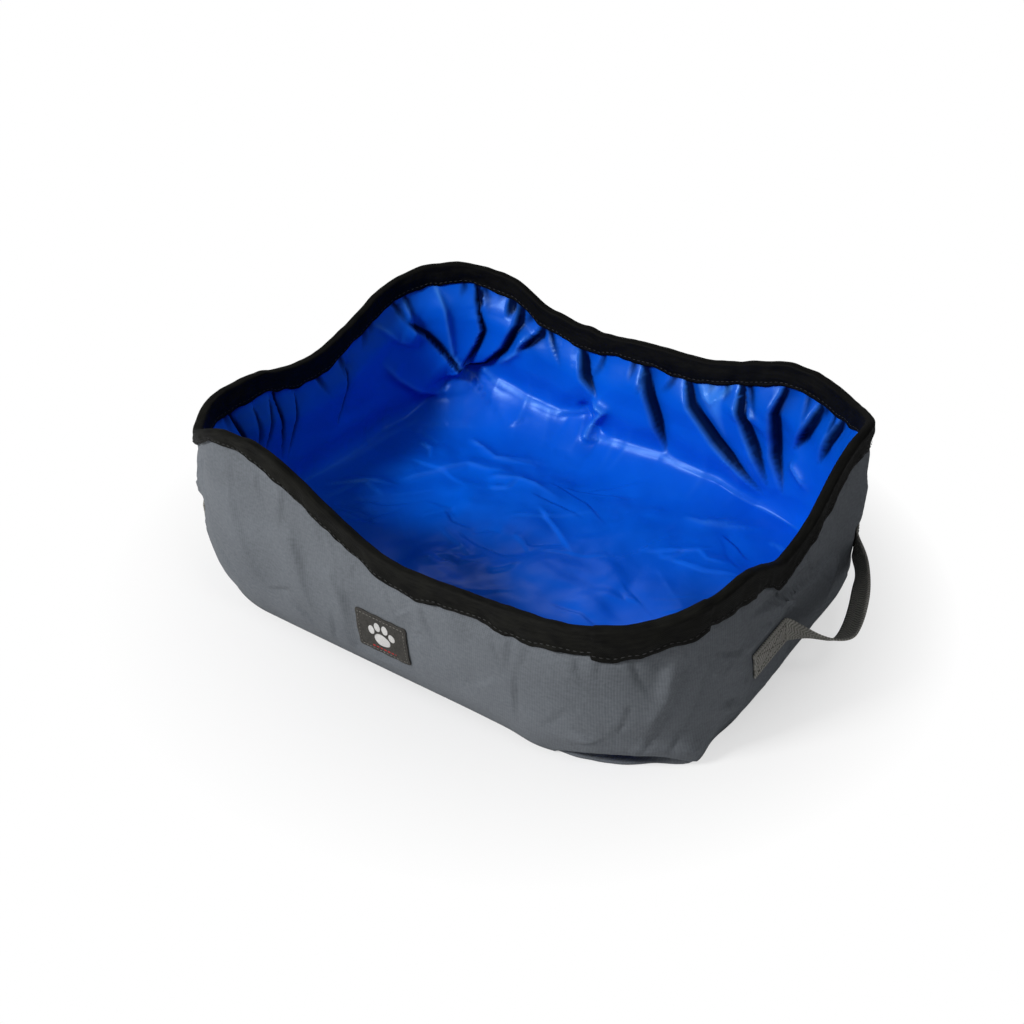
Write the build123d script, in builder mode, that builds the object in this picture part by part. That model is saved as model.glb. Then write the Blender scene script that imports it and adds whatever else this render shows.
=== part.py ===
# Collapsible pet bathtub: a soft Oxford-cloth tub with a seamless PVC liner, held open by a closed
# spring-steel hoop inside the tape that binds its wavy rim, with a webbing handle on each end.
# Millimetres. X runs along the tub, Y across it, the front is -Y, and the floor is Z = 0.
import os
from math import asin, cos, pi, radians, sin, tan

from build123d import *

os.makedirs("parts", exist_ok=True)

# ---- tub outline: length, width and corner radius at three heights ----
base_length, base_width, base_corner = 446, 342, 106
belly_length, belly_width, belly_corner = 450, 356, 104
rim_length, rim_width, rim_corner = 440, 352, 95
hem_height = 12          # the wall swells out from its lower hem over this height
hem_tuck = 5             # how far the hem is drawn in under the wall
belly_height = 52
rim_level = 100          # the rim outline holds from here up

# ---- height of the rim above the floor, the wave that the spring hoop takes ----
front_heights = (158, 140, 109, 106, 111)   # left shoulder, quarter, middle, quarter, right shoulder
right_heights = (126, 109, 145)             # front shoulder, middle, back shoulder
back_heights = (137, 121, 119, 118, 140)    # right shoulder, quarter, middle, quarter, left shoulder
left_heights = (137, 115, 128)              # back shoulder, middle, front shoulder
front_right_peak, back_right_peak, back_left_peak, front_left_peak = 119, 136, 154, 128

# ---- cloth ----
cloth_thickness = 1.0    # coated Oxford cloth
liner_thickness = 0.8    # PVC sheet
tape_thickness = 0.8     # binding tape
cloth_gap = 0.3          # clearance between sewn layers
seam_allowance = 9       # the base panel's edge, turned up inside the wall

# ---- spring hoop ----
hoop_diameter = 2.0
hoop_runs = 36           # straight runs, joined by tangent arcs, that make up the hoop
hoop_end_gap = 0.6       # between the hoop's two ends, inside the sleeve
sleeve_length = 20
sleeve_wall = 0.5
sleeve_bore_gap = 0.2
rim_samples = 72         # points that carry the rim's curve round the tub

# ---- binding ----
binding_height = 20
hoop_gap = 0.8           # room for the hoop under the fold of the tape

# ---- liner ----
liner_bend = 14          # outside radius where its floor turns up into its wall

# ---- handles: one webbing strap on each end ----
webbing_width = 20
webbing_thickness = 1.4
handle_height = 49       # middle of the webbing, above the floor
handle_start = -24       # where the strap leaves the right end wall, and where it comes back
handle_finish = 100
sewn_length = 54         # length of each end that is sewn flat to the wall
hinge_standoff = 12      # from the wall to the line that the loop swings about
loop_reach = 33          # from the wall to the outside of the loop
loop_lean = 7            # how much nearer the wall the loop's far corner is
loop_droop = 18          # degrees that the loose loop hangs down
loop_corner = 9          # bend radius of the webbing at the loop's two corners
swing_gap = 0.5          # between the swinging loop and the strap's sewn ends

# ---- label patch on the front ----
label_width, label_height, label_thickness, label_corner = 46, 34, 0.8, 2
label_centre_x, label_centre_z = 3, 42

# ---- sizes that follow from these ----
liner_inset = 2 * (cloth_thickness + cloth_gap)    # inside the wall and the base's turned-up edge
channel_width = max(                        # the tape's channel clears the cloth layers and the hoop
    liner_inset + liner_thickness + 2 * cloth_gap,
    hoop_diameter + 2 * (sleeve_wall + sleeve_bore_gap + cloth_gap),
)
hoop_inset = channel_width / 2 - cloth_gap
sleeve_radius = hoop_diameter / 2 + sleeve_bore_gap + sleeve_wall
hoop_drop = tape_thickness + hoop_gap + sleeve_radius
cloth_drop = hoop_drop + sleeve_radius + hoop_gap
liner_floor = cloth_thickness + cloth_gap
rim_reach = 3 * channel_width               # a rim ring covers this much on each side of the wall
top_level = max(front_heights + right_heights + back_heights + left_heights) + 2 * binding_height

tub_sections = [                            # height, length, width, corner radius
    (0, base_length - 2 * hem_tuck, base_width - 2 * hem_tuck, base_corner - hem_tuck),
    (hem_height, base_length, base_width, base_corner),
    (belly_height, belly_length, belly_width, belly_corner),
    (rim_level, rim_length, rim_width, rim_corner),
]


def tub_form(inset):
    """The tub's outside, moved in by inset, or out where inset is negative."""
    with BuildPart() as form:
        for height, length, width, corner in tub_sections:
            with BuildSketch(Plane.XY.offset(height)):
                RectangleRounded(length - 2 * inset, width - 2 * inset, corner - inset)
        loft()
        extrude(form.faces().sort_by(Axis.Z)[-1], amount=top_level - rim_level)
    return form.part


def liner_bag(inset):
    """The outside of the liner, pushed down into the tub, moved in by inset on every side."""
    with BuildPart() as bag:
        add(tub_form(liner_inset + inset))
        split(bisect_by=Plane.XY.offset(liner_floor + inset), keep=Keep.TOP)
        fillet(bag.faces().sort_by(Axis.Z)[0].edges(), liner_bend - inset)
    return bag.part


# ---- the rim's curve ----
long_run = rim_length / 2 - rim_corner      # half the straight run of a long side
short_run = rim_width / 2 - rim_corner
corner_run = pi * rim_corner / 2
rim_round = 4 * (long_run + short_run + corner_run)


def rim_stations():
    """The distance round the rim, from the middle of the front, of each named height."""
    half_round = [long_run / 2, long_run / 2, corner_run / 2, corner_run / 2, short_run,
                  short_run, corner_run / 2, corner_run / 2, long_run / 2, long_run / 2]
    distances = [0]
    for step in half_round * 2:
        distances.append(distances[-1] + step)
    return distances


rim_distances = rim_stations()
rim_heights = [*front_heights[2:], front_right_peak, *right_heights, back_right_peak,
               *back_heights, back_left_peak, *left_heights, front_left_peak, *front_heights[:3]]
station_count = len(rim_heights) - 1


def rim_slopes():
    """Slopes at the stations that let the hoop bend evenly through them, found by relaxation."""
    steps = [end - start for start, end in zip(rim_distances, rim_distances[1:])]
    rises = [(end - start) / step
             for start, end, step in zip(rim_heights, rim_heights[1:], steps)]
    slopes = [0.0] * station_count
    for _ in range(40):
        for index in range(station_count):
            ahead = (index + 1) % station_count
            pull = 3 * (rises[index - 1] / steps[index - 1] + rises[index] / steps[index])
            pull -= slopes[index - 1] / steps[index - 1] + slopes[ahead] / steps[index]
            slopes[index] = pull / (2 / steps[index - 1] + 2 / steps[index])
    return [*slopes, slopes[0]]


rim_gradients = rim_slopes()


def rim_height(turn):
    """Height of the rim at a fraction of a turn from the middle of the front."""
    distance = turn % 1 * rim_round
    here = max(index for index in range(station_count) if rim_distances[index] <= distance)
    step = rim_distances[here + 1] - rim_distances[here]
    start, end = rim_heights[here], rim_heights[here + 1]
    leave, arrive = rim_gradients[here] * step, rim_gradients[here + 1] * step
    u = (distance - rim_distances[here]) / step
    return (start * (2 * u**3 - 3 * u**2 + 1) + leave * (u**3 - 2 * u**2 + u)
            + end * (3 * u**2 - 2 * u**3) + arrive * (u**3 - u**2))


def rim_point(turn, inset, drop):
    """A point on the rim, moved in from the outside of the wall and down from the crest."""
    left = turn % 1 * rim_round
    spot = Vector(0, inset - rim_width / 2)
    heading = 0
    for straight in (long_run, 2 * short_run, 2 * long_run, 2 * short_run, long_run):
        spot += Vector(min(left, straight), 0).rotate(Axis.Z, heading)
        left = max(left - straight, 0)
        bend = 90 * min(left / corner_run, 1)
        chord = 2 * (rim_corner - inset) * sin(radians(bend / 2))
        spot += Vector(chord, 0).rotate(Axis.Z, heading + bend / 2)
        heading += bend
        left = max(left - corner_run, 0)
    return spot + Vector(0, 0, rim_height(turn) - drop)


def rim_ring(drop, height):
    """A ring that follows the wavy rim, from `drop` below its crest up or down by height."""
    turns = [index / rim_samples for index in range(rim_samples)]
    inner, outer = (
        Edge.make_spline(
            [rim_point(turn, inset, drop) for turn in turns],
            periodic=True, parameters=[*turns, 1.0],
        )
        for inset in (channel_width + rim_reach, -rim_reach)
    )
    strip = Face.make_surface_from_curves(inner, outer)
    with BuildPart() as ring:
        extrude(to_extrude=strip, amount=abs(height), dir=(0, 0, 1 if height > 0 else -1))
    return ring.part


above_cloth = rim_ring(cloth_drop, top_level)

# ---- outer wall: one strip of Oxford cloth wrapped round the tub ----
with BuildPart() as outer_wall:
    add(tub_form(0))
    add(tub_form(cloth_thickness), mode=Mode.SUBTRACT)
    add(above_cloth, mode=Mode.SUBTRACT)

# ---- outer base: a panel with its seam allowance turned up inside the wall ----
base_inset = cloth_thickness + cloth_gap
with BuildPart() as base_hollow:
    add(tub_form(base_inset + cloth_thickness))
    split(bisect_by=Plane.XY.offset(cloth_thickness), keep=Keep.TOP)
with BuildPart() as outer_base:
    add(tub_form(base_inset))
    add(base_hollow.part, mode=Mode.SUBTRACT)
    split(bisect_by=Plane.XY.offset(seam_allowance), keep=Keep.BOTTOM)

# ---- liner: one seamless sheet of PVC, pushed into the tub as a bag ----
with BuildPart() as liner:
    add(liner_bag(0))
    add(liner_bag(liner_thickness), mode=Mode.SUBTRACT)
    add(above_cloth, mode=Mode.SUBTRACT)

# ---- rim binding: tape folded over the rim, with a channel for the cloth edges and the hoop ----
with BuildPart() as binding_channel:
    add(tub_form(-cloth_gap))
    add(tub_form(channel_width - cloth_gap), mode=Mode.SUBTRACT)
    add(rim_ring(tape_thickness, -2 * binding_height), mode=Mode.INTERSECT)
with BuildPart() as rim_binding:
    add(tub_form(-cloth_gap - tape_thickness))
    add(tub_form(channel_width - cloth_gap + tape_thickness), mode=Mode.SUBTRACT)
    add(rim_ring(0, -binding_height), mode=Mode.INTERSECT)
    add(binding_channel.part, mode=Mode.SUBTRACT)

# ---- rim hoop: round spring wire, its two ends meeting at the middle of the back ----
hoop_corners = []                           # where the tangents at the middles of two runs meet
for index in range(hoop_runs):
    tangent_ends = []
    for run, side in ((index, 1), (index + 1, -1)):
        middle, quarter = 0.5 + run / hoop_runs, 0.25 / hoop_runs
        ahead = rim_point(middle + quarter, hoop_inset, hoop_drop)
        behind = rim_point(middle - quarter, hoop_inset, hoop_drop)
        tangent_ends.append(rim_point(middle, hoop_inset, hoop_drop) + (ahead - behind) * side)
    hoop_corners.append((tangent_ends[0] + tangent_ends[1]) / 2)
hoop_middle = (hoop_corners[0] + hoop_corners[-1]) / 2
sleeve_axis = (hoop_corners[0] - hoop_corners[-1]).normalized()
hoop_start = hoop_middle + sleeve_axis * hoop_end_gap / 2
hoop_track = [hoop_start, *hoop_corners, hoop_middle - sleeve_axis * hoop_end_gap / 2]
bend_radii = []
for start, corner, end in zip(hoop_track, hoop_track[1:], hoop_track[2:]):
    half_turn = radians((corner - start).get_angle(end - corner)) / 2
    shorter_run = min((corner - start).length, (end - corner).length)
    bend_radii.append(0.45 * shorter_run / tan(half_turn))
with BuildLine() as hoop_path:
    FilletPolyline(*hoop_track, radius=bend_radii)
with BuildPart() as rim_hoop:
    with BuildSketch(Plane(origin=hoop_start, z_dir=sleeve_axis)):
        Circle(hoop_diameter / 2)
    sweep(path=hoop_path.wire())

# ---- hoop sleeve: crimped over the hoop's two ends ----
with BuildPart() as hoop_sleeve:
    with BuildSketch(Plane(origin=hoop_middle, z_dir=sleeve_axis)):
        Circle(sleeve_radius)
        Circle(sleeve_radius - sleeve_wall, mode=Mode.SUBTRACT)
    extrude(amount=sleeve_length / 2, both=True)

# ---- label patch: sewn flat on the front wall ----
with BuildPart() as label_patch:
    add(tub_form(-cloth_gap - label_thickness))
    add(tub_form(-cloth_gap), mode=Mode.SUBTRACT)
    with BuildSketch(Plane.XZ):
        with Locations((label_centre_x, label_centre_z)):
            RectangleRounded(label_width, label_height, label_corner)
    extrude(amount=belly_width, mode=Mode.INTERSECT)

# ---- handles ----
wall_x = belly_length / 2
hinge_x = wall_x + hinge_standoff
corner_y = belly_width / 2 - belly_corner
finish_angle = asin((handle_finish - corner_y) / belly_corner)
finish_x = wall_x - belly_corner * (1 - cos(finish_angle))
sewn_finish = corner_y + belly_corner * sin(finish_angle + sewn_length / belly_corner)
near_corner = (wall_x + loop_reach, handle_start + loop_reach - hinge_standoff / 2)
far_corner = (near_corner[0] - loop_lean, (handle_start + handle_finish) / 2 + loop_lean)


def beyond(end, corner):
    """The point past end, on the line from corner, that takes the webbing into the wall's face."""
    run = Vector(*end) - Vector(*corner)
    return Vector(*end) + run.normalized() * 3 * webbing_thickness


def crossing(end, corner):
    """Where the run from end to corner crosses the line that the loop swings about."""
    share = (hinge_x - end[0]) / (corner[0] - end[0])
    return end[1] + share * (corner[1] - end[1])


strap_start = (wall_x + cloth_gap + webbing_thickness / 2, handle_start)
strap_finish = (finish_x + cloth_gap + webbing_thickness / 2, handle_finish)
near_hinge_y = crossing(strap_start, near_corner)
far_hinge_y = crossing(strap_finish, far_corner)


def webbing(plane):
    """The whole free strap as a ribbon standing on its edge, its path laid out in plane."""
    with BuildPart() as strap:
        with BuildSketch(plane) as ribbon:
            with BuildLine():
                FilletPolyline(
                    beyond(strap_start, near_corner), near_corner, far_corner,
                    beyond(strap_finish, far_corner), radius=loop_corner,
                )
                offset(amount=webbing_thickness / 2)
            make_face()
        extrude(amount=webbing_width / 2, both=True)
    return strap.part


def handle_end(start, finish, cut, keep):
    """One sewn end of the right handle, with the short free length up to the swinging loop."""
    with BuildPart() as end:
        add(tub_form(-cloth_gap - webbing_thickness))
        add(tub_form(-cloth_gap), mode=Mode.SUBTRACT)
        with BuildSketch(Plane.YZ):
            with Locations(((start + finish) / 2, handle_height)):
                Rectangle(abs(finish - start), webbing_width)
        extrude(amount=belly_length, mode=Mode.INTERSECT)
    with BuildPart() as free_length:
        add(webbing(Plane.XY.offset(handle_height)))
        add(tub_form(-cloth_gap), mode=Mode.SUBTRACT)
        split(bisect_by=Plane.XZ.offset(-cut), keep=keep)
    with BuildPart() as whole:
        add(end.part)
        add(free_length.part)
    return whole.part


right_start = handle_end(
    handle_start - sewn_length, handle_start, near_hinge_y - swing_gap / 2, Keep.TOP)
right_finish = handle_end(
    handle_finish, sewn_finish, far_hinge_y + swing_gap / 2, Keep.BOTTOM)

outward = Vector(1, 0, 0).rotate(Axis.Y, loop_droop)
droop_plane = Plane(
    origin=Vector(hinge_x, 0, handle_height) - outward * hinge_x,
    x_dir=outward,
    z_dir=Vector(0, 0, 1).rotate(Axis.Y, loop_droop),
)
with BuildPart() as right_loop:
    add(webbing(droop_plane))
    split(bisect_by=Plane.XZ.offset(-near_hinge_y - swing_gap / 2), keep=Keep.BOTTOM)
    split(bisect_by=Plane.XZ.offset(-far_hinge_y + swing_gap / 2), keep=Keep.TOP)

# ---- the pieces as they stand, and their files ----
pieces = {
    "outer_wall": outer_wall.part,
    "outer_base": outer_base.part,
    "liner": liner.part,
    "rim_binding": rim_binding.part,
    "rim_hoop": rim_hoop.part,
    "hoop_sleeve": hoop_sleeve.part,
    "label_patch": label_patch.part,
    "right_handle_front_end": right_start,
    "right_handle_loop": right_loop.part,
    "right_handle_back_end": right_finish,
    "left_handle_back_end": right_start.rotate(Axis.Z, 180),
    "left_handle_loop": right_loop.part.rotate(Axis.Z, 180),
    "left_handle_front_end": right_finish.rotate(Axis.Z, 180),
}
for name, piece in pieces.items():
    piece.label = name
    export_step(piece, f"parts/{name}.step")
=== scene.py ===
from math import cos, pi, sin

import bmesh
import bpy
import numpy as np
from mathutils import Matrix, Vector, noise
from mathutils.bvhtree import BVHTree


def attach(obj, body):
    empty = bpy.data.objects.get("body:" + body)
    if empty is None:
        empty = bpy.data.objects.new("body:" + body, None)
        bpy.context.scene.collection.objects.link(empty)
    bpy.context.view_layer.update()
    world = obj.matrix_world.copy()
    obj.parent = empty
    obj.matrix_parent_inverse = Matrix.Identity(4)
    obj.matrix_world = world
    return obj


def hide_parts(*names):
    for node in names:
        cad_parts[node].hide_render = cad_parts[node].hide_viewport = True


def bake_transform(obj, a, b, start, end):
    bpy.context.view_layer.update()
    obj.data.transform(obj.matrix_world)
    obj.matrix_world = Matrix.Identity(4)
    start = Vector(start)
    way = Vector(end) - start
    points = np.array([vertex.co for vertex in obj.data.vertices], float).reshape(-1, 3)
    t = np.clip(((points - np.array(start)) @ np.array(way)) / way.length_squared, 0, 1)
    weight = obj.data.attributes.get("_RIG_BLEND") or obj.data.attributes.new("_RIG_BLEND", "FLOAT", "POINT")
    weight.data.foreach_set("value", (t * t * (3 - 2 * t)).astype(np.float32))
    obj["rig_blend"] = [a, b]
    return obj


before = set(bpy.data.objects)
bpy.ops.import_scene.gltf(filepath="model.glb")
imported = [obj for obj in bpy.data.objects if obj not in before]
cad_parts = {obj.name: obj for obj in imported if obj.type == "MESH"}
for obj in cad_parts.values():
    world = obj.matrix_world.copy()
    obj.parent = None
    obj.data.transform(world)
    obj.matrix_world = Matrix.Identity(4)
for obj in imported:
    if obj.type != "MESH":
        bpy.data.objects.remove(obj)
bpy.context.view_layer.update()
mm = 0.001
scene = bpy.context.scene

cameraSet = {"place": (0.4694, -0.6939, 0.5995), "aim": (-0.0174, 0.0042, 0.0366), "lens": 45.78}


def turnedTo(thing, place, aim):
    thing.location = place
    thing.rotation_mode = "QUATERNION"
    thing.rotation_quaternion = (Vector(aim) - Vector(place)).to_track_quat("-Z", "Y")
    scene.collection.objects.link(thing)


def makeCamera(s):
    data = bpy.data.cameras.new("camera")
    data.lens = s["lens"]
    data.sensor_width = 36
    data.clip_start, data.clip_end = 0.05, 30
    scene.camera = bpy.data.objects.new("camera", data)
    turnedTo(scene.camera, s["place"], s["aim"])


makeCamera(cameraSet)
scene.view_settings.view_transform = "Standard"
print("camera ready")


def operator(kind, swapped=False):
    def grow(socket, *others):
        values = (*others, socket) if swapped else (socket, *others)
        return socket.build.node("Math", {"operation": kind}, dict(enumerate(values)))
    return grow


class Socket:
    # one value in a node tree, which grows Math nodes as an expression uses it
    def __init__(self, build, link):
        self.build, self.link = build, link

    def maths(self, kind, *others):
        return operator(kind)(self, *others)

    __add__ = __radd__ = operator("ADD")
    __sub__, __rsub__ = operator("SUBTRACT"), operator("SUBTRACT", swapped=True)
    __mul__ = __rmul__ = operator("MULTIPLY")
    __truediv__ = operator("DIVIDE")


class NodeTree:
    def __init__(self, owner, shader, last, **constants):
        owner.use_nodes = True
        self.owner, self.tree = owner, owner.node_tree
        self.shader, self.last = self.tree.nodes[shader], self.tree.nodes[last]
        for key, value in constants.items():
            self.shader.inputs[key.replace("_", " ")].default_value = value

    def node(self, kind, settings, values, output=0):
        made = self.tree.nodes.new("ShaderNode" + kind)
        for key, value in settings.items():
            if key == "stops":
                ramp = made.color_ramp
                while len(ramp.elements) < len(value):
                    ramp.elements.new(0.5)
                for element, (place, colour) in zip(ramp.elements, value):
                    element.position = place
                    element.color = (*colour, 1)
            else:
                setattr(made, key, value)
        for key, value in values.items():
            if isinstance(value, Socket):
                self.tree.links.new(value.link, made.inputs[key])
            else:
                made.inputs[key].default_value = value
        return Socket(self, made.outputs[output])

    # the shader gives way to another as factor rises
    def crossOver(self, factor, other):
        both = self.node("MixShader", {}, {0: factor, 1: Socket(self, self.shader.outputs[0]), 2: other})
        self.tree.links.new(both.link, self.last.inputs["Surface"])


class Finish(NodeTree):
    def __init__(self, name, specular=0.5, **constants):
        super().__init__(bpy.data.materials.new(name), "Principled BSDF", "Material Output",
                         Specular_IOR_Level=specular, **constants)

    def uv(self):
        return self.node("UVMap", {"uv_map": "cloth"}, {})

    def kept(self, name):
        return self.node("Attribute", {"attribute_name": name}, {}, "Fac")

    def place(self):
        return self.node("TexCoord", {}, {}, "Object")

    def part(self, vector, axis):
        return self.node("SeparateXYZ", {}, {0: vector}, axis)

    def uvParts(self):
        return self.part(self.uv(), "X"), self.part(self.uv(), "Y")

    def stretched(self, *scale):
        return self.node("Mapping", {}, {"Vector": self.uv(), "Scale": scale})

    def noise(self, scale, detail, over=None):
        return self.node("TexNoise", {}, {"Vector": over or self.place(), "Scale": scale, "Detail": detail})

    def ramp(self, value, *stops):
        return self.node("ValToRGB", {"stops": stops}, {0: value})

    def mix(self, factor, first, second):
        return self.node("Mix", {"data_type": "RGBA"}, {0: factor, 6: first, 7: second}, 2)

    def wave(self, value, step):
        return (value * (2 * pi / step)).maths("SINE") * 0.5 + 0.5

    def clamped(self, value):
        return self.node("Clamp", {}, {0: value})

    def bump(self, height, strength, distance, normal=None):
        values = {"Height": height, "Strength": strength, "Distance": distance}
        if normal:
            values["Normal"] = normal
        return self.node("Bump", {}, values)

    def feed(self, **links):
        for key, value in links.items():
            self.tree.links.new(value.link, self.shader.inputs[key.replace("_", " ")])
        return self.owner


def wearFinish(piece, material, slotName=None):
    piece.data.materials.clear()
    piece.data.materials.append(material)


def addPiece(name, mesh):
    for face in mesh.faces:
        face.smooth = True
    data = bpy.data.meshes.new(name)
    mesh.to_mesh(data)
    mesh.free()
    piece = bpy.data.objects.new(name, data)
    scene.collection.objects.link(piece)
    return piece


def smoothstep(x):
    x = np.clip(x, 0, 1)
    return x * x * (3 - 2 * x)


def hump(x, power=2):
    return np.exp(-np.abs(x) ** power)


def sizes(vectors):
    return np.linalg.norm(vectors, axis=1)


def dots(first, second):
    return np.einsum("ij,ij->i", first, second)


def lengthsAlong(points):
    return np.concatenate([[0], np.cumsum(sizes(np.diff(points, axis=0)))])


def between(at, gaps, points):
    return np.stack([np.interp(at, gaps, points[:, k]) for k in range(3)], -1)


tubForm = {
    "cornerAt": ((0, 101), (12, 106), (52, 104), (100, 95)),     # height, corner radius
    "longRun": 125, "shortRun": 81, "rimCorner": 95,             # the rim's outline
    "soften": 14,                                                # how far the corners' ends are eased
    "hoopInset": 1.7, "samples": 1420, "bulgeFull": 100, "levels": (2, 5, 8, 12, 18, 26, 36, 48, 60, 72, 84, 97),
}


def cadTree(node):
    mesh = bmesh.new()
    mesh.from_mesh(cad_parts[node].data)
    tree = BVHTree.FromBMesh(mesh)
    mesh.free()
    return tree


def periodicEase(values, reach):
    kernel = np.hanning(2 * reach + 3)
    kernel /= kernel.sum()
    padded = np.concatenate([values[-len(kernel):], values, values[:len(kernel)]])
    return np.convolve(padded, kernel, "same")[len(kernel):-len(kernel)]


# corner steps and heading at each millimetre round the rim
def unrollRim(s):
    arc = pi * s["rimCorner"] / 2
    steps = [0, s["longRun"], arc, 2 * s["shortRun"], arc, 2 * s["longRun"], arc, 2 * s["shortRun"], arc, s["longRun"]]
    knots = np.cumsum(steps)
    along = np.linspace(0, knots[-1], s["samples"] + 1)[:-1]
    sideX = np.interp(along, knots, [0, 1, 1, 1, 1, -1, -1, -1, -1, 0])
    sideY = np.interp(along, knots, [-1, -1, -1, 1, 1, 1, 1, -1, -1, -1])
    heading = np.interp(along, knots, [-90, -90, 0, 0, 90, 90, 180, 180, 270, 270])
    evenly = along / knots[-1] * 360
    heading = periodicEase(heading - evenly, s["soften"]) + evenly
    return knots[-1], along, periodicEase(sideX, s["soften"]), periodicEase(sideY, s["soften"]), np.radians(heading)


rimRound, rimAlong, rimSideX, rimSideY, rimHeading = unrollRim(tubForm)
wallTree = cadTree("outer_wall")
levels = np.array(tubForm["levels"]) * mm
halfLength = [wallTree.ray_cast(Vector((0.4, 0, z)), Vector((-1, 0, 0)))[0].x for z in levels]
halfWidth = [-wallTree.ray_cast(Vector((0, -0.4, z)), Vector((0, 1, 0)))[0].y for z in levels]


# values kept for each millimetre round the rim, which may turn once on the way
def around(values, s, turn=0, knots=rimAlong):
    return np.interp(np.asarray(s) % rimRound, np.append(knots, rimRound), np.append(values, values[0] + turn))


# the same for a short table of s and height
def tableAround(table, s):
    knots, heights = zip(*table)
    return around(heights, s, knots=knots)


# how far s lies from a place on the rim, the shorter way round
def fromPlace(s, at):
    return (np.asarray(s) - at + rimRound / 2) % rimRound - rimRound / 2


# places on the tub's outline moved in by inset, and the way out
def outline(s, z, inset):
    heading = around(rimHeading, s, 2 * pi)
    out = np.stack([np.cos(heading), np.sin(heading), 0 * heading], -1)
    heights, radii = zip(*tubForm["cornerAt"])
    corner = np.interp(z, np.array(heights) * mm, np.array(radii) * mm)
    longHalf, wideHalf = np.interp(z, levels, halfLength), np.interp(z, levels, halfWidth)
    reach = corner - inset + around(rimBulge, s) * smoothstep(z / mm / tubForm["bulgeFull"])
    x = (longHalf - corner) * around(rimSideX, s) + reach * out[..., 0]
    y = (wideHalf - corner) * around(rimSideY, s) + reach * out[..., 1]
    return np.stack([x, y, z + 0 * x], -1), out


rimBulge = np.zeros(len(rimAlong))


# height of the bound rim at each millimetre round it
def readCrest(node):
    tree = cadTree(node)
    points, out = outline(rimAlong, 0.12, tubForm["hoopInset"] * mm)
    hits = [tree.ray_cast(Vector((x, y, 0.3)), Vector((0, 0, -1)))[0] for x, y, z in points]
    found = [index for index, hit in enumerate(hits) if hit]
    return periodicEase(np.interp(rimAlong, rimAlong[found], [hits[index].z for index in found]), 5)


# small kinks in the soft rim: s, reach along it, how far up, how far out
kinks = ((812, 15, -3.5, 0), (845, 10, 1.2, 0), (268, 14, 3, 0), (322, 18, -4.5, 0), (1302, 10, -2.5, 0),
         (1262, 14, 1.5, 0), (465, 24, 0, 3.5), (1118, 7, 1.5, 0), (1340, 9, 1.5, 1), (765, 8, 1.5, 0),
         (640, 14, -1, 1), (20, 26, 1, 1.5), (80, 14, -1, -1.5), (585, 12, 1.2, 0), (372, 15, 1.5, 1),
         (1180, 18, 0, 2))


def kinked(which):
    return sum(each[which] * mm * hump(fromPlace(rimAlong, each[0]) / each[1]) for each in kinks)


crest, hoopTop = readCrest("rim_binding") + kinked(2), readCrest("rim_hoop") + kinked(2)
rimBulge = kinked(3)
print("rim read, from", round(crest.min(), 4), "to", round(crest.max(), 4))


# smooth unevenness from -1 to 1 in space, with so many swells a metre
def unevenness(points, fineness, start):
    shift = Vector((start, 0, 0))
    return np.array([noise.noise(Vector(p) * fineness + shift) for p in points])


# the same round the rim, with a swell about every step millimetres; drift moves it on across the cloth
def rimNoise(s, step, start, drift=0):
    angle, radius = 2 * pi * np.asarray(s) / rimRound, rimRound / (2 * pi * step)
    depth = start + drift + 0 * angle
    return np.array([noise.noise(Vector(p)) for p in zip(np.cos(angle) * radius, np.sin(angle) * radius, depth)])


# the sum of such noises, each with its step, height and start; rise moves them on by its share of their step
def waves(table, s, drift=0, rise=0):
    return sum(size * rimNoise(s, step, start, drift + rise / step) for step, size, start in table)


scatter = {"jitter": (-0.4, 0.4), "drift": (-0.6, 0.6), "other": (0.8, 3.5)}


# seeded draws from named ranges
class Draws:
    def __init__(self, ranges, rng=None):
        self.ranges, self.rng = ranges, rng or np.random.default_rng(ranges["seed"])

    def __call__(self, *keys):
        return [self.rng.uniform(*self.ranges[key]) for key in keys]

    def sign(self):
        return self.rng.choice([-1, 1])


# a fold follows a path of corner points in millimetres; depth is its lift, width its one side and other the
# second side's share of that; lip is the second side's own lift, where it stands proud as a pleat does beside
# its slit; first and last are the shares of the depth at its ends, and rise and fall the shares of its length
# over which it grows and fades; the final argument paints a highlight band along it, or painted shade below 0
def fold(depth, width, other, path, first=0.0, last=0.0, rise=0.15, fall=0.35, lip=None, sheen=0.0):
    return {"depth": depth, "width": width, "other": other, "path": path, "sheen": sheen,
            "ends": (first, last), "grows": (rise, fall), "lip": depth if lip is None else lip}


# a fold that is at its full depth where it starts, with a proud lip beside it
def slitFold(depth, width, other, lip, path):
    return fold(depth, width, other, path, first=1, lip=lip)


foldSet = {
    "reach": 6, "offFade": 18, "slitStep": 3.6,      # widths looked at, mm off the surface, step that makes a slit
    # the rest set the painted highlight along raised edges and the painted shade in slits
    "edgeWide": 2, "edgeFull": 7, "slitFull": 8, "slitDark": 1.4, "shadeWide": 9, "shade": 0.15,
    "darkTop": 1.6, "darkFade": 0.95, "darkOff": (0.5, 1.6), "darkWide": (0.9, 2.0), "darkSharp": 2.6,
    "roundTop": 0.2, "slideFade": 4, "stepOver": 0.06,
}
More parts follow.
